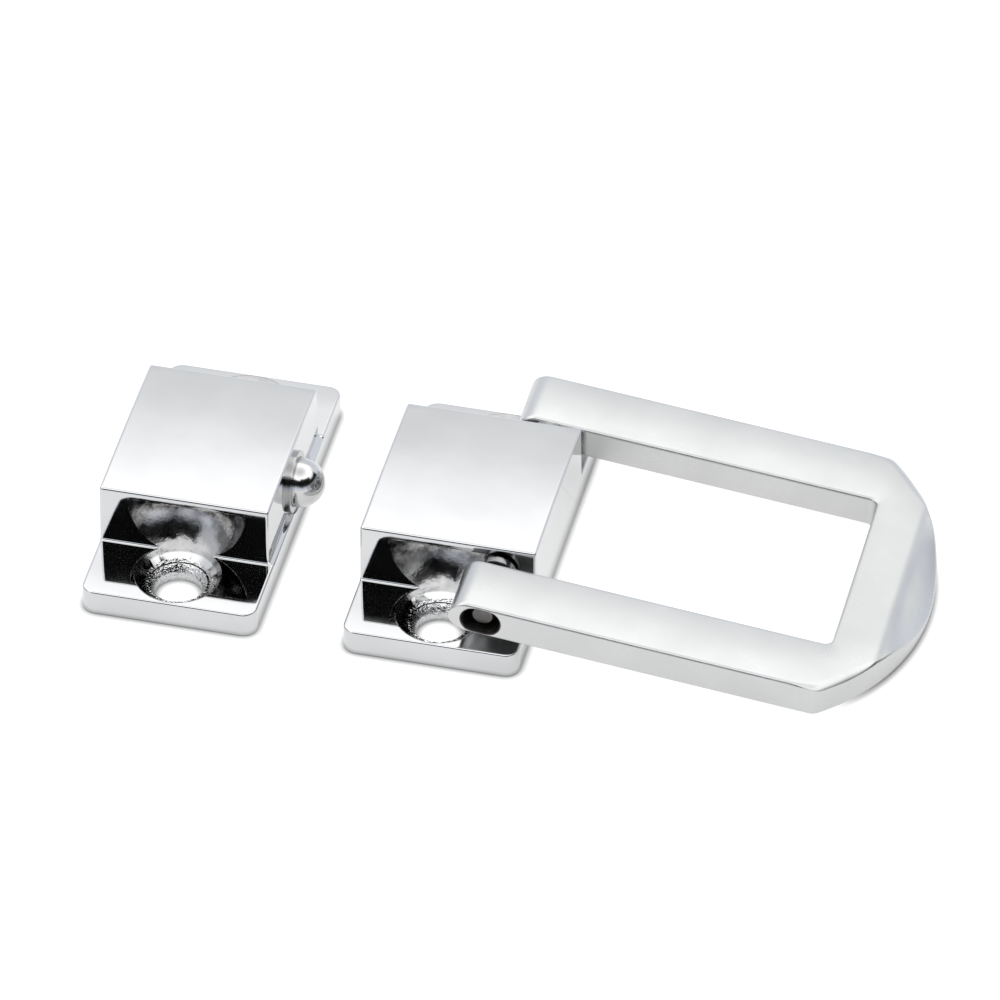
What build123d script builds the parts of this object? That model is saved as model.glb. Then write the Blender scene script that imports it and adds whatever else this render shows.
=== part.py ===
"""Two-unit swing-bail latch for a window or shutter, built as separate pieces.

Frame: millimetres, +Z out of the mounting surface, +X from the keeper towards
the hinged bail, Y along the units. The origin is on the base unit's mounting
face, midway between its two screw holes. The latch is open: the bail lies over
to +X with its end on the mounting surface, and the two units stand apart.
"""

import os
from math import cos, radians, sin

from build123d import *

# Castings shared by the two units
plate_width = 19.8
plate_length = 40.4
plate_height = 3.1
plate_corner = 1.6
block_shoulder = 10.2
block_crown = 0.24
block_foot = 22.66
block_top = 22.06
foot_fillet = 0.5
rim_fillet = 0.3
edge_fillet = 0.4

# Screw holes and the driver scoops above them
screw_y = 15.15
hole_radius = 2.6
hole_wall = 1.2
ledge_inner = 3.2
ledge_outer = 3.5
ledge_height = 1.9
scoop_radius = 7.77
scoop_top = 9.2
sink_radius = (scoop_radius**2 - (scoop_top - plate_height) ** 2) ** 0.5

# Keeper unit, with the milled face that carries the spring catch
unit_gap = 9.72
keeper_x = -(plate_width + unit_gap)
keeper_left = keeper_x - plate_width / 2
catch_face = -20.25

# Spring catch, on an axis along X
catch_z = 5.8
flange_radius = 3.5
flange_thickness = 0.45
flange_clearance = 0.1
barrel_radius = 3.15
barrel_length = 3.0
plunger_radius = 2.78
plunger_bore = 2.84
nose_proud = 0.37
collar_radius = 2.92
collar_length = 2.0
collar_gap = 0.1
guide_radius = 3.0
guide_depth = 14.2
seat_radius = 1.9
seat_depth = 3.8
coil_radius = 1.4
wire_radius = 0.3
coil_pitch = 1.3
coil_end_gap = 0.05

# Socket in the base for the catch's nose
socket_radius = 3.1
socket_depth = 2.6
socket_lip = 0.3

# Bail and its pivot
pivot = Vector(5.8, 0, 7.35)
droop = 6.5
bail_thickness = 4.17
bail_outer = 40.26
bail_inner = 24.76
nose_reach = 3.6
window_reach = 37.4
window_corner = 1.0
end_reach = 46.4
end_radius = 27.3
end_start = end_reach - end_radius + (end_radius**2 - (bail_outer / 2) ** 2) ** 0.5
end_corner = 1.5
nose_flat = 0.06
lift_start = 42.9
lift_edge = 1.0
pin_radius = 1.35
pin_clearance = 0.05
pin_end_inset = 1.1
pin_chamfer = 0.25
slot_length = 4.3
slot_height = 3.2
slot_depth = 3.0
washer_radius = 2.1
washer_thickness = 0.75
washer_inset = 0.15

# Working planes: along the catch, and along the bail as it lies open
catch_plane = Plane(origin=(catch_face, 0, catch_z), x_dir=(0, 1, 0), z_dir=(1, 0, 0))
catch_section = Plane(origin=(catch_face, 0, catch_z), x_dir=(1, 0, 0), z_dir=(0, -1, 0))
arm_direction = Vector(cos(radians(droop)), 0, -sin(radians(droop)))
bail_normal = Vector(sin(radians(droop)), 0, cos(radians(droop)))
bail_plane = Plane(origin=pivot, x_dir=arm_direction, z_dir=bail_normal)
bail_side = Plane(origin=pivot, x_dir=arm_direction, z_dir=(0, -1, 0))
pivot_plane = Plane(origin=pivot, x_dir=(1, 0, 0), z_dir=(0, -1, 0))

arm_axis = Axis(pivot, arm_direction)
bail_upright = Axis(pivot, bail_normal)
catch_axis = Axis((catch_face, 0, catch_z), (1, 0, 0))


def beyond_foot(edge):
    """Whether an edge lies on the plate's screw ledges, clear of the block's foot."""
    return abs(edge.center().Y) > block_foot / 2 + foot_fillet + rim_fillet


def is_socket_edge(edge):
    """Whether an edge is one of the nose socket's circles."""
    return edge.geom_type == GeomType.CIRCLE and abs(edge.radius - socket_radius) < 0.01


def casting(centre_x, block_left, block_right):
    """A flanged plate with a raised, crowned block, two countersunk holes and driver scoops."""
    with BuildPart() as block:
        with BuildSketch(Plane.YZ.offset(block_left)):
            with BuildLine():
                Polyline(
                    (-block_top / 2, block_shoulder),
                    (-block_foot / 2, plate_height),
                    (-block_foot / 2, 0),
                    (block_foot / 2, 0),
                    (block_foot / 2, plate_height),
                    (block_top / 2, block_shoulder),
                )
                ThreePointArc(
                    (block_top / 2, block_shoulder),
                    (0, block_shoulder + block_crown),
                    (-block_top / 2, block_shoulder),
                )
            make_face()
        extrude(amount=block_right - block_left)
        fillet(block.faces().sort_by(Axis.Z)[-1].edges(), edge_fillet)
    with BuildPart() as body:
        with BuildSketch(Plane.XY):
            with Locations((centre_x, 0)):
                RectangleRounded(plate_width, plate_length, plate_corner)
        extrude(amount=plate_height)
        add(block.part)
        rim = body.edges().filter_by_position(Axis.Z, plate_height, plate_height)
        feet = rim.filter_by(Axis.X).filter_by_position(Axis.Y, -block_foot / 2, block_foot / 2)
        fillet(feet, foot_fillet)
        rim = body.edges().filter_by_position(Axis.Z, plate_height, plate_height)
        fillet(rim.filter_by(beyond_foot), rim_fillet)
        for side in (-1, 1):
            hole_plane = Plane(
                origin=(centre_x, side * screw_y, 0), x_dir=(1, 0, 0), z_dir=(0, -1, 0)
            )
            with BuildSketch(hole_plane):
                with BuildLine():
                    Polyline(
                        (scoop_radius, scoop_top),
                        (0, scoop_top),
                        (0, 0),
                        (hole_radius, 0),
                        (hole_radius, hole_wall),
                        (ledge_inner, ledge_height),
                        (ledge_outer, ledge_height),
                        (sink_radius, plate_height),
                    )
                    RadiusArc(
                        (sink_radius, plate_height), (scoop_radius, scoop_top), -scoop_radius
                    )
                make_face()
            revolve(axis=Axis(hole_plane.origin, (0, 0, 1)), mode=Mode.SUBTRACT)
    return body.part


with BuildPart() as base_body:
    add(casting(0, -plate_width / 2, plate_width / 2))
    with BuildSketch(pivot_plane):
        Circle(pin_radius)
    extrude(amount=block_foot, both=True, mode=Mode.SUBTRACT)
    socket_mouth = Plane(origin=(-plate_width / 2, 0, catch_z), x_dir=(0, 1, 0), z_dir=(1, 0, 0))
    with BuildSketch(socket_mouth):
        Circle(socket_radius)
    extrude(amount=socket_depth, mode=Mode.SUBTRACT)
    mouth_edge = base_body.edges().filter_by(is_socket_edge).sort_by(Axis.X)[0]
    chamfer(mouth_edge, socket_lip)

with BuildPart() as pivot_pin:
    with BuildSketch(pivot_plane):
        Circle(pin_radius)
    extrude(amount=bail_outer / 2 - pin_end_inset, both=True)
    chamfer(pivot_pin.edges().filter_by(GeomType.CIRCLE), pin_chamfer)

washers = {}
for name, side in (("front_pivot_washer", 1), ("back_pivot_washer", -1)):
    with BuildPart() as washer:
        with BuildSketch(pivot_plane.offset(side * (bail_inner / 2 - washer_inset))):
            Circle(washer_radius)
            Circle(pin_radius + pin_clearance, mode=Mode.SUBTRACT)
        extrude(amount=-side * washer_thickness)
    washers[name] = washer

with BuildPart() as bail:
    with BuildSketch(bail_plane.offset(-bail_thickness / 2)):
        with BuildLine():
            Polyline(
                (end_start, bail_outer / 2),
                (-nose_reach, bail_outer / 2),
                (-nose_reach, -bail_outer / 2),
                (end_start, -bail_outer / 2),
            )
            ThreePointArc(
                (end_start, -bail_outer / 2), (end_reach, 0), (end_start, bail_outer / 2)
            )
        make_face()
    extrude(amount=bail_thickness)
    corners = bail.edges().filter_by(bail_upright).group_by(arm_axis)[-1]
    fillet(corners, end_corner)
    with BuildSketch(bail_plane.offset(-bail_thickness)):
        with BuildLine():
            Polyline(
                (-2 * nose_reach, bail_inner / 2),
                (-2 * nose_reach, -bail_inner / 2),
                (window_reach - window_corner, -bail_inner / 2),
            )
            RadiusArc(
                (window_reach - window_corner, -bail_inner / 2),
                (window_reach, -bail_inner / 2 + window_corner),
                -window_corner,
            )
            Line(
                (window_reach, -bail_inner / 2 + window_corner),
                (window_reach, bail_inner / 2 - window_corner),
            )
            RadiusArc(
                (window_reach, bail_inner / 2 - window_corner),
                (window_reach - window_corner, bail_inner / 2),
                -window_corner,
            )
            Line(
                (window_reach - window_corner, bail_inner / 2),
                (-2 * nose_reach, bail_inner / 2),
            )
        make_face()
    extrude(amount=2 * bail_thickness, mode=Mode.SUBTRACT)
    nose_edges = bail.edges().filter_by(Axis.Y).group_by(arm_axis)[0]
    fillet(nose_edges, (bail_thickness - nose_flat) / 2)
    with BuildSketch(bail_side):
        with BuildLine():
            Polyline(
                (lift_start, bail_thickness / 2),
                (end_reach, -bail_thickness / 2 + lift_edge),
                (end_reach + 2, -bail_thickness / 2 + lift_edge),
                (end_reach + 2, bail_thickness),
                (lift_start, bail_thickness),
                close=True,
            )
        make_face()
    extrude(amount=bail_outer, both=True, mode=Mode.SUBTRACT)
    with BuildSketch(pivot_plane):
        Circle(pin_radius + pin_clearance)
    extrude(amount=bail_outer, both=True, mode=Mode.SUBTRACT)
    for side in (-1, 1):
        with BuildSketch(bail_side.offset(side * bail_outer / 2)):
            SlotOverall(slot_length, slot_height)
        extrude(amount=-side * slot_depth, mode=Mode.SUBTRACT)

with BuildPart() as keeper_body:
    add(casting(keeper_x, keeper_left, catch_face))
    with BuildSketch(catch_plane):
        Circle(flange_radius + flange_clearance)
    extrude(amount=unit_gap, mode=Mode.SUBTRACT)
    with BuildSketch(catch_plane):
        Circle(barrel_radius)
    extrude(amount=-barrel_length, mode=Mode.SUBTRACT)
    with BuildSketch(catch_plane.offset(-barrel_length)):
        Circle(guide_radius)
    extrude(amount=barrel_length - guide_depth, mode=Mode.SUBTRACT)

with BuildPart() as catch_ferrule:
    with BuildSketch(catch_section):
        with BuildLine():
            Polyline(
                (-barrel_length, plunger_bore),
                (-barrel_length, barrel_radius),
                (0, barrel_radius),
                (0, flange_radius),
                (flange_thickness, flange_radius),
                (flange_thickness, plunger_bore),
                close=True,
            )
        make_face()
    revolve(axis=catch_axis)

nose_centre = flange_thickness + nose_proud
collar_front = -barrel_length - collar_gap
collar_back = collar_front - collar_length
with BuildPart() as catch_plunger:
    with BuildSketch(catch_section):
        with BuildLine():
            Polyline(
                (nose_centre + plunger_radius, 0),
                (collar_back + seat_depth, 0),
                (collar_back + seat_depth, seat_radius),
                (collar_back, seat_radius),
                (collar_back, collar_radius),
                (collar_front, collar_radius),
                (collar_front, plunger_radius),
                (nose_centre, plunger_radius),
            )
            CenterArc((nose_centre, 0), plunger_radius, 0, 90)
        make_face()
    revolve(axis=catch_axis)

coil_front = collar_back + seat_depth - wire_radius - coil_end_gap
coil_back = -guide_depth + wire_radius + coil_end_gap
with BuildPart() as catch_spring:
    with BuildLine():
        coil = Helix(
            pitch=coil_pitch,
            height=coil_front - coil_back,
            radius=coil_radius,
            center=(catch_face + coil_back, 0, catch_z),
            direction=(1, 0, 0),
        )
    with BuildSketch(Plane(origin=coil @ 0, z_dir=coil % 0)):
        Circle(wire_radius)
    sweep(path=coil, is_frenet=True)

pieces = {
    "base_body": base_body,
    "pivot_pin": pivot_pin,
    "bail": bail,
    "keeper_body": keeper_body,
    "catch_ferrule": catch_ferrule,
    "catch_plunger": catch_plunger,
    "catch_spring": catch_spring,
}
pieces.update(washers)

os.makedirs("parts", exist_ok=True)
for name, piece in pieces.items():
    piece.part.label = name
    export_step(piece.part, f"parts/{name}.step")
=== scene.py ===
"""Looks for the two-unit swing-bail latch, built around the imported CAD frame."""

from math import asin, cos, pi, radians, sin, sqrt, tan

import bmesh
import bpy
from mathutils import Matrix, Vector


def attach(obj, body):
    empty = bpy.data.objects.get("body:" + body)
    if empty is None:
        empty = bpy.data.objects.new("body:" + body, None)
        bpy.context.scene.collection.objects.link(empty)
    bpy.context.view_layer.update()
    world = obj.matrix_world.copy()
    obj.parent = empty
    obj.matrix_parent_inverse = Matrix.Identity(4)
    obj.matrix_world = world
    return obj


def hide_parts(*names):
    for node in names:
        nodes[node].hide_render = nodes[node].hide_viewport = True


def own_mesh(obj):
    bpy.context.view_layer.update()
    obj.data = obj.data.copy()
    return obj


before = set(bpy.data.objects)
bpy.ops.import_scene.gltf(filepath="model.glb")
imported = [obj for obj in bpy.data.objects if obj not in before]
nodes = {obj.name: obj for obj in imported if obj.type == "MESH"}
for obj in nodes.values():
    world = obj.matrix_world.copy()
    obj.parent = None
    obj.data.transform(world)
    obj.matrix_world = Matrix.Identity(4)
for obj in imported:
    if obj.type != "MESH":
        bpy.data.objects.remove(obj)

MM = 0.001
X_AXIS, Y_AXIS, Z_AXIS = Vector((1, 0, 0)), Vector((0, 1, 0)), Vector((0, 0, 1))
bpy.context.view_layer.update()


# ---------------------------------------------------------------- camera
CAMERA_TARGET = Vector((1.94, 5.4, 2.9)) * MM
CAMERA_AZIMUTH = 13.512
CAMERA_ELEVATION = 40.264
CAMERA_ROLL = -0.211
CAMERA_DISTANCE = 1.2
CAMERA_LENS = 390.19
CAMERA_CLIP_END = 100


def direction_to(azimuth, elevation):
    """The unit vector towards an azimuth, from -Y towards +X, and an elevation, in degrees."""
    az, el = radians(azimuth), radians(elevation)
    return Vector((sin(az) * cos(el), -cos(az) * cos(el), sin(el)))


def make_camera():
    back = direction_to(CAMERA_AZIMUTH, CAMERA_ELEVATION)
    right = Vector((cos(radians(CAMERA_AZIMUTH)), sin(radians(CAMERA_AZIMUTH)), 0))
    axes = Matrix((right, back.cross(right), back)).transposed()
    axes = axes @ Matrix.Rotation(radians(CAMERA_ROLL), 3, "Z")
    data = bpy.data.cameras.new("camera")
    data.lens = CAMERA_LENS
    data.clip_end = CAMERA_CLIP_END
    camera = bpy.data.objects.new("camera", data)
    bpy.context.scene.collection.objects.link(camera)
    place = Matrix.Translation(CAMERA_TARGET + back * CAMERA_DISTANCE)
    camera.matrix_world = place @ axes.to_4x4()
    bpy.context.scene.camera = camera


# ---------------------------------------------------------------- sizes of the castings, in mm
BASE_X = 0.0
KEEPER_X = -29.52
HALF_WIDTH = 9.9
HALF_LENGTH = 20.2
PLATE_HEIGHT = 3.1
PLATE_CORNER = 1.6
BLOCK_SHOULDER = 10.2
BLOCK_CROWN = 0.235
BLOCK_HALF_TOP = 11.03
BLOCK_HALF_FOOT = 11.33
TOP_FILLET = 0.4
FOOT_FILLET = 0.25
RIM_FILLET = 0.3
END_FILLET = 0.3
BOTTOM_FILLET = 0.15

# The ledge's slight roll down towards its end, and the part of the plate's height that follows it
LEDGE_BEND = 16.0
LEDGE_ROLL = 0.07
EDGE_BAND = (PLATE_HEIGHT - 1.2, PLATE_HEIGHT - 0.1)

# Driver scoops and screw holes; a profile is (radius, height) or (radius, depth) pairs
SCREW_Y = 15.15
SCOOP_TOP = 9.2
SCOOP_RADIUS = 7.77
SCOOP_OVERLAP = 0.1
SCREW_PROFILE = [(3.5, 1.95), (3.45, 1.9), (3.25, 1.9), (3.2, 1.87), (2.64, 1.25), (2.6, 1.17), (2.6, -1)]

# The catch's bore in the keeper, its socket in the base, and the pin's bore
CATCH_FACE = -20.25
CATCH_Z = 5.8
CATCH_PROFILE = [(3.6, -3), (3.6, 0), (3.15, 0), (3.15, 3), (3.0, 3), (3.0, 14.2)]
SOCKET_PROFILE = [(3.7, -0.3), (3.1, 0.3), (3.1, 2.6)]
PIN_BORE = 1.36

# Bands over which the rough skin ends: past the scoop, above it, out from the screw and up the seat;
# and the band of heights above which the scoop's skin darkens, partly less polished, partly painted shade
# under its roof
SCOOP_MARGIN = (SCOOP_RADIUS + 0.04, SCOOP_RADIUS + 0.07)
SCOOP_ROOF = (SCOOP_TOP + 0.1, SCOOP_TOP + 0.2)
SEAT_MARGIN = (3.6, 3.8)
SEAT_ROOF = (2.4, 2.7)
SCOOP_SHADE_BAND = (4.6, 6.6)

# Mesh steps along a casting's section, and the rows beside each fillet that keep the flats flat
CROWN_STEPS = 14
FILLET_STEPS = 8
FACE_STEPS = 7
LEDGE_STEPS = 12
LIP_STEPS = 6
SIDE_STEPS = 3
BOTTOM_STEPS = 4
END_STEPS = 6
CORNER_STEPS = 12
MIDDLE_STEPS = 14
SCOOP_STEPS = 28
SUPPORT = 0.012


# ---------------------------------------------------------------- shader nodes
def new_material(name):
    material = bpy.data.materials.new(name)
    material.use_nodes = True
    return material, material.node_tree, material.node_tree.nodes["Principled BSDF"]


def add_node(tree, kind, **settings):
    node = tree.nodes.new(kind)
    for key, value in settings.items():
        setattr(node, key, value)
    return node


def noise(tree, scale, detail=2.0, roughness=0.5):
    """Noise in the object's own metres; scale is in bumps per metre."""
    place = add_node(tree, "ShaderNodeTexCoord")
    texture = add_node(tree, "ShaderNodeTexNoise")
    texture.inputs["Scale"].default_value = scale
    texture.inputs["Detail"].default_value = detail
    texture.inputs["Roughness"].default_value = roughness
    tree.links.new(place.outputs["Object"], texture.inputs["Vector"])
    return texture.outputs["Fac"]


def spread(tree, value, low, high, start=0.3, end=0.7):
    """Maps a value from start to end, which suit noise, onto low to high."""
    remap = add_node(tree, "ShaderNodeMapRange")
    remap.inputs["From Min"].default_value = start
    remap.inputs["From Max"].default_value = end
    remap.inputs["To Min"].default_value = low
    remap.inputs["To Max"].default_value = high
    tree.links.new(value, remap.inputs["Value"])
    return remap.outputs["Result"]


def inside_of(tree, value, band):
    """1 below a band of lengths in mm, 0 above it."""
    return spread(tree, value, 1, 0, band[0] * MM, band[1] * MM)


def fade(tree, value, start, end):
    """1 below start, falling smoothly to 0 at end; the other way round when start is above end."""
    remap = add_node(tree, "ShaderNodeMapRange", interpolation_type="SMOOTHSTEP")
    remap.inputs["From Min"].default_value = min(start, end)
    remap.inputs["From Max"].default_value = max(start, end)
    remap.inputs["To Min"].default_value = 1 if start < end else 0
    remap.inputs["To Max"].default_value = 0 if start < end else 1
    tree.links.new(value, remap.inputs["Value"])
    return remap.outputs["Result"]


def product(tree, a, b):
    node = add_node(tree, "ShaderNodeMath", operation="MULTIPLY")
    tree.links.new(a, node.inputs[0])
    tree.links.new(b, node.inputs[1])
    return node.outputs["Value"]


def flattened(tree, vector):
    """The vector with its Z set to 0."""
    node = add_node(tree, "ShaderNodeVectorMath", operation="MULTIPLY")
    node.inputs[1].default_value = (1, 1, 0)
    tree.links.new(vector, node.inputs[0])
    return node.outputs["Vector"]


def distance_to(tree, vector, point):
    node = add_node(tree, "ShaderNodeVectorMath", operation="DISTANCE")
    node.inputs[1].default_value = point
    tree.links.new(vector, node.inputs[0])
    return node.outputs["Value"]


def along(tree, vector, direction):
    node = add_node(tree, "ShaderNodeVectorMath", operation="DOT_PRODUCT")
    node.inputs[1].default_value = direction
    tree.links.new(vector, node.inputs[0])
    return node.outputs["Value"]


def blend_values(tree, share, a, b):
    mix = add_node(tree, "ShaderNodeMix", data_type="FLOAT")
    tree.links.new(share, mix.inputs[0])
    for socket, value in ((mix.inputs[2], a), (mix.inputs[3], b)):
        if isinstance(value, (int, float)):
            socket.default_value = value
        else:
            tree.links.new(value, socket)
    return mix.outputs[0]


def blend_colors(tree, share, a, b):
    mix = add_node(tree, "ShaderNodeMix", data_type="RGBA")
    tree.links.new(share, mix.inputs[0])
    for socket, color in ((mix.inputs[6], a), (mix.inputs[7], b)):
        if isinstance(color, tuple):
            socket.default_value = (*color, 1)
        else:
            tree.links.new(color, socket)
    return mix.outputs[2]


def bump(tree, value, height, under=None, strength=None):
    """A bump of a height in mm, on top of another bump; strength can be a mask."""
    node = add_node(tree, "ShaderNodeBump")
    node.inputs["Strength"].default_value = 1.0
    node.inputs["Distance"].default_value = height * MM
    tree.links.new(value, node.inputs["Height"])
    if strength is not None:
        tree.links.new(strength, node.inputs["Strength"])
    if under is not None:
        tree.links.new(under, node.inputs["Normal"])
    return node.outputs["Normal"]


# ---------------------------------------------------------------- metals
SKIN_SCALE = 420
# The scoop skin's colours: the lower one, and the darker upper one, which is partly less polished skin and
# partly painted shade under the scoop's roof
SKIN_BRIGHT = ((0.3, 0.3, 0.305), (0.46, 0.46, 0.465))
SHADED_ROUGH_SKIN = ((0.035, 0.033, 0.033), (0.5, 0.49, 0.48))
SHADED_ROUGH_SPREAD = (0.42, 0.66)
SKIN_GLOSS = (0.1, 0.22)
SKIN_HEIGHT = 0.07
PIT_SCALE = 2300
PIT_HEIGHT = 0.14


def rough_and_shade_masks(tree, centre_x):
    """Masks that are 1 inside a casting's driver scoops, in its screw seats, and low down, below a scoop's
    painted shade; 0 elsewhere.
    """
    place = add_node(tree, "ShaderNodeTexCoord")
    split = add_node(tree, "ShaderNodeSeparateXYZ")
    tree.links.new(place.outputs["Object"], split.inputs[0])
    side = add_node(tree, "ShaderNodeMath", operation="ABSOLUTE")
    tree.links.new(split.outputs["Y"], side.inputs[0])
    folded = add_node(tree, "ShaderNodeCombineXYZ")
    tree.links.new(split.outputs["X"], folded.inputs["X"])
    tree.links.new(side.outputs["Value"], folded.inputs["Y"])
    tree.links.new(split.outputs["Z"], folded.inputs["Z"])
    at, height = folded.outputs["Vector"], split.outputs["Z"]
    from_scoop = distance_to(tree, at, Vector((centre_x, SCREW_Y, SCOOP_TOP)) * MM)
    from_screw = distance_to(tree, flattened(tree, at), Vector((centre_x, SCREW_Y, 0)) * MM)
    scoop = product(tree, inside_of(tree, from_scoop, SCOOP_MARGIN), inside_of(tree, height, SCOOP_ROOF))
    seat = product(tree, inside_of(tree, from_screw, SEAT_MARGIN), inside_of(tree, height, SEAT_ROOF))
    return scoop, seat, inside_of(tree, height, SCOOP_SHADE_BAND)


def add_skin_and_shade(tree, centre_x, color, gloss, normal):
    """The lumpy, less polished skin of the scoops and the pitted one of the screw seats, with painted shade
    darkening each scoop high up under its roof.
    """
    scoop, seat, low = rough_and_shade_masks(tree, centre_x)
    lumps = noise(tree, SKIN_SCALE, 4, 0.6)
    bright = blend_colors(tree, spread(tree, lumps, 0, 1), *SKIN_BRIGHT)
    # Painted shade: high up under its roof the scoop's skin turns dark, on top of being less polished
    rough_and_shaded = blend_colors(tree, spread(tree, lumps, 0, 1, *SHADED_ROUGH_SPREAD), *SHADED_ROUGH_SKIN)
    color = blend_colors(tree, scoop, color, blend_colors(tree, low, rough_and_shaded, bright))
    gloss = blend_values(tree, scoop, gloss, spread(tree, lumps, *SKIN_GLOSS))
    normal = bump(tree, lumps, SKIN_HEIGHT, under=normal, strength=scoop)
    normal = bump(tree, noise(tree, PIT_SCALE, 2, 0.6), PIT_HEIGHT, under=normal, strength=seat)
    return color, gloss, normal


def metal(name, dark, light, roughness, wave, grain, metallic=1, scoops_at=None):
    """A metal with cloudy colour and roughness; wave and grain are (bumps per metre, height in mm)."""
    material, tree, shader = new_material(name)
    shader.inputs["Metallic"].default_value = metallic
    clouds = noise(tree, wave[0], 3)
    color = blend_colors(tree, spread(tree, clouds, 0, 1), dark, light)
    gloss = spread(tree, noise(tree, wave[0] * 2.3, 4, 0.6), *roughness)
    normal = bump(tree, clouds, wave[1])
    normal = bump(tree, noise(tree, grain[0], 3), grain[1], under=normal)
    # With scoops, the colour also takes the scoops' painted shade
    if scoops_at is not None:
        color, gloss, normal = add_skin_and_shade(tree, scoops_at, color, gloss, normal)
    tree.links.new(color, shader.inputs["Base Color"])
    tree.links.new(gloss, shader.inputs["Roughness"])
    tree.links.new(normal, shader.inputs["Normal"])
    return material


def chrome(name, scoops_at):
    return metal(name, (0.6, 0.605, 0.61), (0.66, 0.665, 0.67), (0.02, 0.06), (90, 0.02), (1500, 0.0005),
                 scoops_at=scoops_at)


def paint(piece, material):
    piece.data.materials.clear()
    piece.data.materials.append(material)


# ---------------------------------------------------------------- mesh helpers
def as_object(name, mesh):
    data = bpy.data.meshes.new(name)
    mesh.to_mesh(data)
    mesh.free()
    piece = bpy.data.objects.new(name, data)
    bpy.context.scene.collection.objects.link(piece)
    return piece


def shade(piece, angle):
    """Smooth shading, with edges sharper than an angle in degrees kept sharp."""
    piece.data.shade_smooth()
    piece.data.set_sharp_from_angle(angle=radians(angle))


def rings_solid(name, rings):
    """A closed solid through rings of points given in metres."""
    mesh = bmesh.new()
    loops = [[mesh.verts.new(p) for p in ring] for ring in rings]
    count = len(loops[0])
    for a, b in zip(loops, loops[1:]):
        for i in range(count):
            j = (i + 1) % count
            mesh.faces.new((a[i], a[j], b[j], b[i]))
    mesh.faces.new(loops[0])
    mesh.faces.new(list(reversed(loops[-1])))
    bmesh.ops.recalc_face_normals(mesh, faces=mesh.faces)
    return as_object(name, mesh)


def lathe(name, start, axis, across, profile, steps=96):
    """A solid of revolution through (radius, distance along the axis) pairs, in mm."""
    other = axis.cross(across)
    turns = [2 * pi * i / steps for i in range(steps)]
    return rings_solid(name, [[(start + axis * reach + (across * cos(a) + other * sin(a)) * radius) * MM
                               for a in turns] for radius, reach in profile])


def subtract(piece, cutters):
    """Cuts solids out of a piece, and removes them."""
    for tool in cutters:
        modifier = piece.modifiers.new("cut", "BOOLEAN")
        modifier.operation = "DIFFERENCE"
        modifier.solver = "EXACT"
        modifier.object = tool
        modifier.material_mode = "TRANSFER"
    bpy.context.view_layer.update()
    evaluated = piece.evaluated_get(bpy.context.evaluated_depsgraph_get())
    data = bpy.data.meshes.new_from_object(evaluated)
    piece.modifiers.clear()
    piece.data = data
    for tool in cutters:
        bpy.data.objects.remove(tool)


def smooth_step(low, high, value):
    share = min(max((value - low) / (high - low), 0), 1)
    return share * share * (3 - 2 * share)


# ---------------------------------------------------------------- castings
def turn_corner(before, corner, after, radius, steps):
    """Points of the arc of a radius that rounds a corner between two straight runs."""
    back, ahead = (before - corner).normalized(), (after - corner).normalized()
    half = back.angle(ahead) / 2
    centre = corner + (back + ahead).normalized() * radius / sin(half)
    start = corner + back * radius / tan(half) - centre
    end = corner + ahead * radius / tan(half) - centre
    sweep = start.angle_signed(end)
    return [centre + Matrix.Rotation(-sweep * i / steps, 2) @ start for i in range(steps + 1)]


def between(start, end, steps):
    """Points of a straight run without its ends, with one more close to each end to keep its middle flat."""
    shares = [SUPPORT] + [i / steps for i in range(1, steps)] + [1 - SUPPORT]
    return [start.lerp(end, share) for share in shares]


def casting_profile():
    """Half of a casting's section, as (y, z) in mm, from the top's middle out and down to the bottom."""
    crown_radius = (BLOCK_HALF_TOP ** 2 + BLOCK_CROWN ** 2) / (2 * BLOCK_CROWN)
    shoulder = Vector((BLOCK_HALF_TOP, BLOCK_SHOULDER))
    inward = Vector((-1, BLOCK_HALF_TOP / crown_radius))
    foot = Vector((BLOCK_HALF_FOOT, PLATE_HEIGHT))
    rim = Vector((HALF_LENGTH, PLATE_HEIGHT))
    bottom = Vector((HALF_LENGTH, 0))
    edge = turn_corner(shoulder + inward, shoulder, foot, TOP_FILLET, FILLET_STEPS)
    top = [Vector((y, BLOCK_SHOULDER + BLOCK_CROWN - y * y / (2 * crown_radius)))
           for y in (edge[0].x * i / CROWN_STEPS for i in range(CROWN_STEPS))]
    fillet = turn_corner(shoulder, foot, rim, FOOT_FILLET, FILLET_STEPS)
    lip = turn_corner(foot, rim, bottom, RIM_FILLET, LIP_STEPS)
    under = turn_corner(rim, bottom, Vector((0, 0)), BOTTOM_FILLET, BOTTOM_STEPS)
    side = [lip[-1].lerp(under[0], i / SIDE_STEPS) for i in range(1, SIDE_STEPS)]
    points = top + edge + between(edge[-1], fillet[0], FACE_STEPS) + fillet
    points += between(fillet[-1], lip[0], LEDGE_STEPS) + lip + side + under
    rolled = []
    for p in points:
        out = max(p.x - LEDGE_BEND, 0) / (HALF_LENGTH - LEDGE_BEND)
        height_share = p.y / PLATE_HEIGHT if p.x > LEDGE_BEND else 0
        rolled.append(Vector((p.x, p.y - LEDGE_ROLL * out * out * height_share)))
    return rolled


def profile_normals(points):
    normals = []
    for i in range(len(points)):
        ahead = points[min(i + 1, len(points) - 1)] - points[max(i - 1, 0)]
        normals.append(Vector((-ahead.y, ahead.x)).normalized())
    normals[0] = Vector((0, 1))
    return normals


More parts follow.
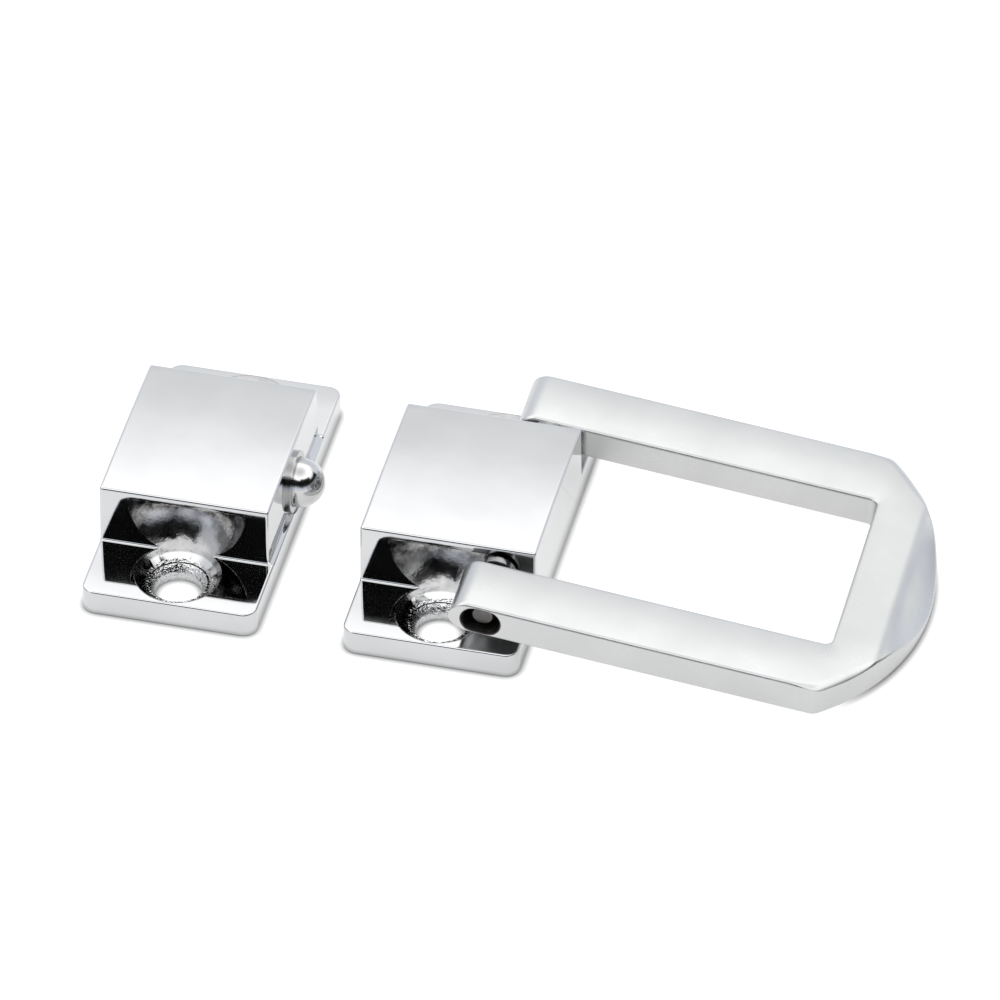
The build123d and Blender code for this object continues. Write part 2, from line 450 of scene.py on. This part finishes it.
def casting_mesh(left, plate_right, block_right):
    """The casting's outside, before its holes: a hat section along X with rounded ends."""
    points = casting_profile()
    normals = profile_normals(points)
    insets = [END_FILLET * (1 - cos(pi / 2 * i / END_STEPS)) for i in range(END_STEPS + 1)]
    insets += [PLATE_CORNER * (1 - cos(pi / 2 * i / CORNER_STEPS)) for i in range(5, CORNER_STEPS + 1)]
    columns = [("left", inset) for inset in insets]
    columns += [("middle", i / MIDDLE_STEPS) for i in range(1, MIDDLE_STEPS)]
    columns += [("right", inset) for inset in reversed(insets)]

    def place(column, index, side):
        kind, value = column
        y, z = points[index]
        to_block = smooth_step(PLATE_HEIGHT, PLATE_HEIGHT + FOOT_FILLET, z)
        right = plate_right + (block_right - plate_right) * to_block
        if kind == "middle":
            x = left + PLATE_CORNER + (right - left - 2 * PLATE_CORNER) * value
            inset = PLATE_CORNER
        else:
            x = left + value if kind == "left" else right - value
            inset = value
        if inset < END_FILLET:
            drop = END_FILLET - sqrt(max(END_FILLET ** 2 - (END_FILLET - inset) ** 2, 0))
            if y < LEDGE_BEND:
                y, z = Vector((y, z)) - normals[index] * drop
            else:
                z -= drop * smooth_step(*EDGE_BAND, z)
        if y > LEDGE_BEND and inset < PLATE_CORNER:
            short = PLATE_CORNER - sqrt(PLATE_CORNER ** 2 - (PLATE_CORNER - inset) ** 2)
            y = LEDGE_BEND + (y - LEDGE_BEND) * (1 - short / (HALF_LENGTH - LEDGE_BEND))
        return Vector((x, side * max(y, 0), z)) * MM

    mesh = bmesh.new()
    order = [(i, -1) for i in range(len(points) - 1, 0, -1)] + [(i, 1) for i in range(len(points))]
    rows = [[mesh.verts.new(place(column, i, side)) for i, side in order] for column in columns]
    for row, following in zip(rows, rows[1:]):
        for i in range(len(order) - 1):
            mesh.faces.new((row[i], row[i + 1], following[i + 1], following[i]))
    mesh.faces.new([row[0] for row in rows] + [row[-1] for row in reversed(rows)])
    # Each end is capped in three parts: the plate, the strips across the foot fillet, and the block.
    last = len(order) - 1
    foot = [i for i, (index, side) in enumerate(order)
            if side == -1 and abs(points[index].y - PLATE_HEIGHT) < 1e-4][-1]
    shin = [i for i, (index, side) in enumerate(order)
            if side == -1 and points[index].y < PLATE_HEIGHT + FOOT_FILLET][-1]
    for row in (rows[0], rows[-1]):
        mesh.faces.new(row[:foot + 1] + row[last - foot:])
        for i in range(foot, shin):
            mesh.faces.new((row[i], row[i + 1], row[last - i - 1], row[last - i]))
        mesh.faces.new(row[shin:last - shin + 1])
    bmesh.ops.recalc_face_normals(mesh, faces=mesh.faces)
    return mesh


def screw_cutter(centre_x, side):
    """The driver scoop, countersink and screw hole of one end."""
    start = asin((SCOOP_TOP - PLATE_HEIGHT + SCOOP_OVERLAP) / SCOOP_RADIUS)
    angles = [start * i / SCOOP_STEPS for i in range(SCOOP_STEPS + 1)]
    profile = [(SCOOP_RADIUS * cos(a), SCOOP_TOP - SCOOP_RADIUS * sin(a)) for a in angles]
    foot = Vector((centre_x, side * SCREW_Y, 0))
    return lathe("screw_cutter", foot, Z_AXIS, X_AXIS, profile + SCREW_PROFILE)


def make_casting(name, centre_x, block_right, cutters):
    piece = as_object(name, casting_mesh(centre_x - HALF_WIDTH, centre_x + HALF_WIDTH, block_right))
    subtract(piece, [screw_cutter(centre_x, 1), screw_cutter(centre_x, -1)] + cutters)
    shade(piece, 28)
    weights = piece.modifiers.new("even_normals", "WEIGHTED_NORMAL")
    weights.keep_sharp = True
    weights.weight = 50
    return piece


def make_base_casting():
    socket = lathe("socket_cutter", Vector((-HALF_WIDTH, 0, CATCH_Z)), X_AXIS, Y_AXIS, SOCKET_PROFILE)
    pin_bore = lathe("pin_cutter", Vector((PIVOT.x, -HALF_LENGTH, PIVOT.z)), Y_AXIS, X_AXIS,
                     [(PIN_BORE, 0), (PIN_BORE, 2 * HALF_LENGTH)])
    return make_casting("base_casting", BASE_X, HALF_WIDTH, [socket, pin_bore])


def make_keeper_casting():
    mouth = lathe("catch_cutter", Vector((CATCH_FACE, 0, CATCH_Z)), -X_AXIS, Y_AXIS, CATCH_PROFILE)
    return make_casting("keeper_casting", KEEPER_X, CATCH_FACE, [mouth])


# ---------------------------------------------------------------- bail, in mm
PIVOT = Vector((5.8, 0, 7.35))
DROOP = 6.5
ARM_DIRECTION = Vector((cos(radians(DROOP)), 0, -sin(radians(DROOP))))
BAIL_NORMAL = Vector((sin(radians(DROOP)), 0, cos(radians(DROOP))))
HALF_THICKNESS = 2.085
HALF_OUTER = 20.13
HALF_INNER = 12.38
NOSE_REACH = 3.6
WINDOW_REACH = 37.4
WINDOW_CORNER = 1.0
END_REACH = 46.4
END_RADIUS = 27.3
END_CORNER = 1.5
END_CENTRE = END_REACH - END_RADIUS
CROWN = 0.17

# The finger lift
LIFT_START = 43.0
LIFT_EDGE = 1.0
LIFT_BLEND = 1.0
LIFT_HOLLOW = 1.3
LIFT_CUP = 0.8
LIFT_SPAN = 13.4

# Rounded edges: on the arms, at the end corners and on the lift, and where one becomes the next
EDGE_ROUND = 0.4
END_ROUND = 1.6
END_ROLL = 1.0
LIFT_ROUND = 0.25
END_FADE = (34.5, 38)
LIFT_FADE = (40.5, 43.5)

# The slots over the pin's ends, and the pin's bore through the arms
SLOT_LENGTH = 4.3
SLOT_HEIGHT = 3.2
SLOT_DEPTH = 3.0
SLOT_LIP = 0.18
BORE_RADIUS = 1.4
BORE_OVERLAP = 0.5

# Mesh steps along and across the bar
CORNER_START = 30.0
NOSE_STEPS = 12
ARM_STEPS = 16
TURN_STEPS = 90
EDGE_STEPS = 6
TOP_STEPS = 30
SLOT_STEPS = 16
LIP_ROUND_STEPS = 4
BORE_STEPS = 48
WELD_DISTANCE = 0.5e-6


def bail_point(u, v, w):
    """A point in metres from its place along the arm, across it and above its mid plane, in mm."""
    return (PIVOT + ARM_DIRECTION * u + Vector((0, v, 0)) + BAIL_NORMAL * w) * MM


def arc(centre, radius, start, end, count):
    return [centre + Vector((cos(start + (end - start) * i / count),
                             sin(start + (end - start) * i / count))) * radius
            for i in range(count + 1)]


def resample(path, count):
    """count + 1 points at equal steps along a path of points."""
    lengths = [0.0]
    for a, b in zip(path, path[1:]):
        lengths.append(lengths[-1] + (b - a).length)
    points, segment = [], 0
    for i in range(count + 1):
        want = lengths[-1] * i / count
        while segment < len(path) - 2 and lengths[segment + 1] < want:
            segment += 1
        part = (want - lengths[segment]) / (lengths[segment + 1] - lengths[segment])
        points.append(path[segment].lerp(path[segment + 1], min(max(part, 0), 1)))
    return points


def outer_corner():
    """The outer outline from the arm's straight side round to the middle of the end bar."""
    # The corner circle touches the side v = HALF_OUTER and the end arc from inside.
    centre_v = HALF_OUTER - END_CORNER
    centre_u = END_CENTRE + sqrt((END_RADIUS - END_CORNER) ** 2 - centre_v ** 2)
    turn = (Vector((centre_u - END_CENTRE, centre_v))).angle_signed(Vector((1, 0)))
    path = [Vector((CORNER_START, HALF_OUTER))]
    path += arc(Vector((centre_u, centre_v)), END_CORNER, pi / 2, turn, 14)
    path += arc(Vector((END_CENTRE, 0)), END_RADIUS, turn, 0, 60)[1:]
    return path


def inner_corner():
    """The window's outline from the arm's straight side round to the middle of the end bar."""
    path = [Vector((CORNER_START, HALF_INNER))]
    centre = Vector((WINDOW_REACH - WINDOW_CORNER, HALF_INNER - WINDOW_CORNER))
    path += arc(centre, WINDOW_CORNER, pi / 2, 0, 12)
    path.append(Vector((WINDOW_REACH, 0)))
    return path


def half_stations():
    """Pairs of outer and inner outline points, from a nose tip to the middle of the end bar."""
    nose = HALF_THICKNESS
    straight = [-NOSE_REACH + nose * (1 - cos(pi / 2 * i / NOSE_STEPS)) for i in range(NOSE_STEPS + 1)]
    straight += [-NOSE_REACH + nose + (CORNER_START + NOSE_REACH - nose) * i / ARM_STEPS
                 for i in range(1, ARM_STEPS)]
    pairs = [(Vector((u, HALF_OUTER)), Vector((u, HALF_INNER))) for u in straight]
    outer, inner = resample(outer_corner(), TURN_STEPS), resample(inner_corner(), TURN_STEPS)
    return pairs + list(zip(outer, inner))


def smooth_min(a, b, blend):
    h = max(blend - abs(a - b), 0) / blend
    return min(a, b) - h * h * blend / 4


def nose_share(u):
    """How much of its full height the arm has at its rounded nose."""
    inside = u + NOSE_REACH
    if inside >= HALF_THICKNESS:
        return 1.0
    if inside < 0.001:
        return 0.0
    return sqrt(1 - (1 - inside / HALF_THICKNESS) ** 2)


def lift_height(u, v):
    """The finger lift's hollow, above the mid plane: deepest in the middle of the end bar."""
    run = min((u - LIFT_START) / (END_REACH - LIFT_START), 1)
    sunk = 1 - (1 - run) ** LIFT_HOLLOW
    if run > 0:
        sunk *= 1 - LIFT_CUP * min(abs(v) / LIFT_SPAN, 1) ** 2
    return HALF_THICKNESS - sunk * (2 * HALF_THICKNESS - LIFT_EDGE)


def drop_at(distance, radius, reach):
    """How far a rounded edge has dropped at a distance in from the outline; reach is how far in it starts."""
    return radius - sqrt(radius ** 2 - (reach - distance) ** 2) if distance < reach else 0


def outer_round(outer):
    """The outer top edge's radius and reach: a soft roll at the end corners, small on the lift."""
    soft, lift = smooth_step(*END_FADE, outer.x), smooth_step(*LIFT_FADE, outer.x)
    radius = EDGE_ROUND + (END_ROUND - EDGE_ROUND) * soft
    reach = EDGE_ROUND + (END_ROLL - EDGE_ROUND) * soft
    return radius + (LIFT_ROUND - radius) * lift, reach + (LIFT_ROUND - reach) * lift


def section(outer, inner):
    """One closed loop across the bar: over the top from outer to inner, then back under it."""
    width = (inner - outer).length
    radius, wide = outer_round(outer)
    curve = [1 - cos(pi / 2 * i / EDGE_STEPS) for i in range(EDGE_STEPS + 1)]
    across = [wide * c for c in curve]
    across += [wide + (width - wide - EDGE_ROUND) * i / TOP_STEPS for i in range(1, TOP_STEPS)]
    across += [width - EDGE_ROUND * c for c in reversed(curve)]
    loop = []
    for side in (1, -1):
        for x in across if side == 1 else reversed(across):
            place = outer.lerp(inner, x / width)
            middle = 2 * x / width - 1
            height = HALF_THICKNESS - CROWN * middle * middle
            if side == 1:
                height = smooth_min(height, lift_height(place.x, place.y), LIFT_BLEND)
                height -= drop_at(x, radius, wide)
            else:
                height -= drop_at(x, EDGE_ROUND, EDGE_ROUND)
            height -= drop_at(width - x, EDGE_ROUND, EDGE_ROUND)
            loop.append((place.x, place.y, side * height * nose_share(place.x)))
    return loop


def bail_mesh():
    """The bail before its slots and bores: sections swept round from one nose tip to the other."""
    loops = [section(o, i) for o, i in half_stations()]
    loops += [[(u, -v, w) for u, v, w in loop] for loop in reversed(loops[:-1])]
    mesh = bmesh.new()
    rings = [[mesh.verts.new(bail_point(*p)) for p in loop] for loop in loops]
    count = len(rings[0])
    for ring, following in zip(rings, rings[1:]):
        for i in range(count):
            j = (i + 1) % count
            mesh.faces.new((ring[i], ring[j], following[j], following[i]))
    bmesh.ops.remove_doubles(mesh, verts=mesh.verts, dist=WELD_DISTANCE)
    bmesh.ops.recalc_face_normals(mesh, faces=mesh.faces)
    return mesh


def stadium(length, height, grow):
    """Points round a slot's outline, in its own plane."""
    radius, reach = height / 2 + grow, (length - height) / 2
    right = [(reach + radius * sin(a), -radius * cos(a))
             for a in (pi * i / SLOT_STEPS for i in range(SLOT_STEPS + 1))]
    return right + [(-x, -y) for x, y in right]


def slot_cutter(side):
    """The recess for a pin end, with a rounded lip, on one side of the bail."""
    profile = [(SLOT_DEPTH, 0), (SLOT_LIP, 0)]
    profile += [(SLOT_LIP * (1 - sin(a)), SLOT_LIP * (1 - cos(a)))
                for a in (pi / 2 * i / LIP_ROUND_STEPS for i in range(1, LIP_ROUND_STEPS + 1))]
    profile.append((-1, SLOT_LIP))
    rings = [[bail_point(x, side * (HALF_OUTER - depth), y)
              for x, y in stadium(SLOT_LENGTH, SLOT_HEIGHT, grow)] for depth, grow in profile]
    return rings_solid("slot_cutter", rings)


def bore_cutter(side):
    """The pin's bore from inside the window into the slot, on one side of the bail."""
    angles = [2 * pi * i / BORE_STEPS for i in range(BORE_STEPS)]
    rings = [[(PIVOT + Vector((BORE_RADIUS * cos(a), side * v, BORE_RADIUS * sin(a)))) * MM for a in angles]
             for v in (HALF_INNER - 1, HALF_OUTER - SLOT_DEPTH + BORE_OVERLAP)]
    return rings_solid("bore_cutter", rings)


def make_bail(skin, recess):
    """The bail in one material, with another, dark one on the walls of its slots and bores: bare metal
    darkened further as painted shade.
    """
    piece = as_object("bail_body", bail_mesh())
    piece.data.materials.append(skin)
    cutters = [slot_cutter(1), slot_cutter(-1), bore_cutter(1), bore_cutter(-1)]
    # The cutters carry the dark, partly painted-shade colour onto the walls they leave
    for tool in cutters:
        tool.data.materials.append(recess)
    subtract(piece, cutters)
    shade(piece, 32)
    return piece


# ---------------------------------------------------------------- spring, in mm
COIL_RADIUS = 1.4
COIL_PITCH = 1.3
WIRE_RADIUS = 0.3
COIL_BACK = -34.1
COIL_FRONT = -21.9
STEPS_PER_TURN = 24
WIRE_STEPS = 10


def make_spring():
    """The catch's spring: a helix of wire between its guide's bottom and the plunger's seat."""
    turns = (COIL_FRONT - COIL_BACK) / COIL_PITCH
    count = round(turns * STEPS_PER_TURN)
    slope = COIL_PITCH / (2 * pi * COIL_RADIUS)
    rings = []
    for i in range(count + 1):
        a = 2 * pi * turns * i / count
        outward = Vector((0, cos(a), sin(a)))
        upright = (X_AXIS - Vector((0, -sin(a), cos(a))) * slope).normalized()
        place = Vector((COIL_BACK + (COIL_FRONT - COIL_BACK) * i / count, 0, CATCH_Z))
        centre = place + outward * COIL_RADIUS
        rings.append([(centre + (outward * cos(b) + upright * sin(b)) * WIRE_RADIUS) * MM
                      for b in (2 * pi * j / WIRE_STEPS for j in range(WIRE_STEPS))])
    return rings_solid("catch_coil", rings)


# ---------------------------------------------------------------- stage
FLOOR_SIZE = 80
FLOOR_TONE = 0.9
FLOOR_ROUGHNESS = 0.9
FLOOR_SHINE = 0.1
FLOOR_GLOW = 1.25
FLOOR_GLOW_SEEN = 0.75
FLOOR_GLOW_REFLECTED = 0.6

# A painted contact shadow in the floor's glow, right beside the object: how far it reaches, its tone, and the
# openness it runs over
CONTACT_WIDTH = 0.9 * MM
CONTACT_SHADOW_TONE = 0.1
CONTACT_SPREAD = (0.35, 0.95)

# Sky tones by elevation in degrees
SKY = [(0, (0.56, 0.59, 0.65)), (20, (0.52, 0.54, 0.6)), (34, (0.56, 0.57, 0.58)), (38, (0.64, 0.645, 0.65)),
       (45, (1, 1, 1)), (60, (1.1, 1.1, 1.1)), (74, (0.75, 0.75, 0.75)), (90, (0.6, 0.61, 0.62))]
SKY_STRENGTH = 1.7

# Azimuth, half width, bottom, top and tone of each card: a dark one in front, two on the right,
# and a low grey one on the left. Azimuths and widths are in degrees, heights on the unit sphere.
CARDS = [(-2, 26, 0.42, 0.71, 0.003), (46, 28, 0.45, 0.8, 0.004), (94, 26, 0.3, 0.64, 0.004),
         (-88, 24, 0.05, 0.3, 0.2)]
CARD_SIDE_FADE = 8
CARD_TOP_FADE = 0.035
CARD_BOTTOM_FADE = 0.28
CARD_SLOPE = (0.1, 0, 1)


def floor_material():
    """A pale floor, lit from below as far as the camera sees it, so that it stays near white, with a painted
    contact shadow in its glow beside the object.
    """
    material, tree, shader = new_material("floor")
    shader.inputs["Base Color"].default_value = (FLOOR_TONE,) * 3 + (1,)
    shader.inputs["Roughness"].default_value = FLOOR_ROUGHNESS
    shader.inputs["Specular IOR Level"].default_value = FLOOR_SHINE
    # Painted contact shadow: the floor's glow is darkened where the object closes the floor in
    near = add_node(tree, "ShaderNodeAmbientOcclusion", samples=16)
    near.inputs["Distance"].default_value = CONTACT_WIDTH
    contact = spread(tree, near.outputs["AO"], 0, 1, *CONTACT_SPREAD)
    glow = add_node(tree, "ShaderNodeEmission")
    glow_color = blend_colors(tree, contact, (CONTACT_SHADOW_TONE,) * 3, (FLOOR_GLOW,) * 3)
    tree.links.new(glow_color, glow.inputs["Color"])
    seen = add_node(tree, "ShaderNodeLightPath").outputs["Is Camera Ray"]
    mix = add_node(tree, "ShaderNodeMixShader")
    tree.links.new(blend_values(tree, seen, FLOOR_GLOW_REFLECTED, FLOOR_GLOW_SEEN), mix.inputs[0])
    tree.links.new(shader.outputs["BSDF"], mix.inputs[1])
    tree.links.new(glow.outputs["Emission"], mix.inputs[2])
    tree.links.new(mix.outputs["Shader"], tree.nodes["Material Output"].inputs["Surface"])
    return material


def make_floor():
    half = FLOOR_SIZE / 2
    mesh = bpy.data.meshes.new("floor")
    corners = [(-half, -half, 0), (half, -half, 0), (half, half, 0), (-half, half, 0)]
    mesh.from_pydata(corners, [], [(0, 1, 2, 3)])
    mesh.materials.append(floor_material())
    floor = bpy.data.objects.new("floor", mesh)
    bpy.context.scene.collection.objects.link(floor)


def make_world():
    """A pale sky with soft cards in it: the cards are what the mirror faces show dark."""
    world = bpy.data.worlds.new("studio")
    bpy.context.scene.world = world
    world.use_nodes = True
    tree = world.node_tree
    background = tree.nodes["Background"]
    place = add_node(tree, "ShaderNodeTexCoord").outputs["Generated"]
    ramp = add_node(tree, "ShaderNodeValToRGB")
    tree.links.new(along(tree, place, (0, 0, 1)), ramp.inputs["Fac"])
    for _ in SKY[1:-1]:
        ramp.color_ramp.elements.new(0.5)
    for element, (elevation, tone) in zip(ramp.color_ramp.elements, SKY):
        element.position = sin(radians(elevation))
        element.color = (*tone, 1)
    level = add_node(tree, "ShaderNodeVectorMath", operation="NORMALIZE")
    tree.links.new(flattened(tree, place), level.inputs[0])
    height = along(tree, place, CARD_SLOPE)
    color = ramp.outputs["Color"]
    for azimuth, half_width, bottom, top, tone in CARDS:
        bearing = along(tree, level.outputs["Vector"], direction_to(azimuth, 0))
        sides = fade(tree, bearing, cos(radians(half_width)), cos(radians(half_width + CARD_SIDE_FADE)))
        part = product(tree, sides, fade(tree, height, top, top + CARD_TOP_FADE))
        part = product(tree, part, fade(tree, height, bottom, bottom - CARD_BOTTOM_FADE))
        color = blend_colors(tree, part, color, (tone, tone, tone))
    tree.links.new(color, background.inputs["Color"])
    background.inputs["Strength"].default_value = SKY_STRENGTH


# ---------------------------------------------------------------- build
make_camera()

satin = metal("satin_chrome", (0.57, 0.575, 0.57), (0.62, 0.625, 0.62), (0.26, 0.34), (120, 0.01),
              (3000, 0.0006), metallic=0.93)
steel = metal("turned_steel", (0.3, 0.3, 0.3), (0.5, 0.5, 0.5), (0.12, 0.25), (300, 0.005), (5000, 0.002))
polished = metal("polished_steel", (0.5, 0.5, 0.5), (0.64, 0.64, 0.64), (0.1, 0.16), (300, 0.01),
                 (3000, 0.001))
pin_metal = metal("pin_end", (0.1, 0.095, 0.09), (0.2, 0.19, 0.185), (0.25, 0.4), (400, 0.01), (5000, 0.002))
# Walls of the bail's slots and bores: dark bare metal, made darker still as painted shade in these recesses
recess_dark_and_shade = metal("dark_recess_and_shade", (0.05, 0.048, 0.046), (0.12, 0.115, 0.11), (0.4, 0.6), (900, 0.03), (5000, 0.004))

paint(nodes["catch_plunger"], polished)
paint(nodes["pivot_pin"], pin_metal)
for name in ("front_pivot_washer", "back_pivot_washer", "catch_ferrule"):
    paint(nodes[name], steel)

base_casting = make_base_casting()
paint(base_casting, chrome("base_chrome", BASE_X))
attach(base_casting, "base")
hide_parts("base_body")

keeper_casting = make_keeper_casting()
paint(keeper_casting, chrome("keeper_chrome", KEEPER_X))
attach(keeper_casting, "keeper")
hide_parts("keeper_body")

bail = make_bail(satin, recess_dark_and_shade)
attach(bail, "bail")
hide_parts("bail")

spring = make_spring()
paint(spring, steel)
shade(spring, 40)
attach(spring, "keeper")
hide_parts("catch_spring")
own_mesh(spring)

make_floor()
make_world()
bpy.context.scene.view_settings.view_transform = "Standard"
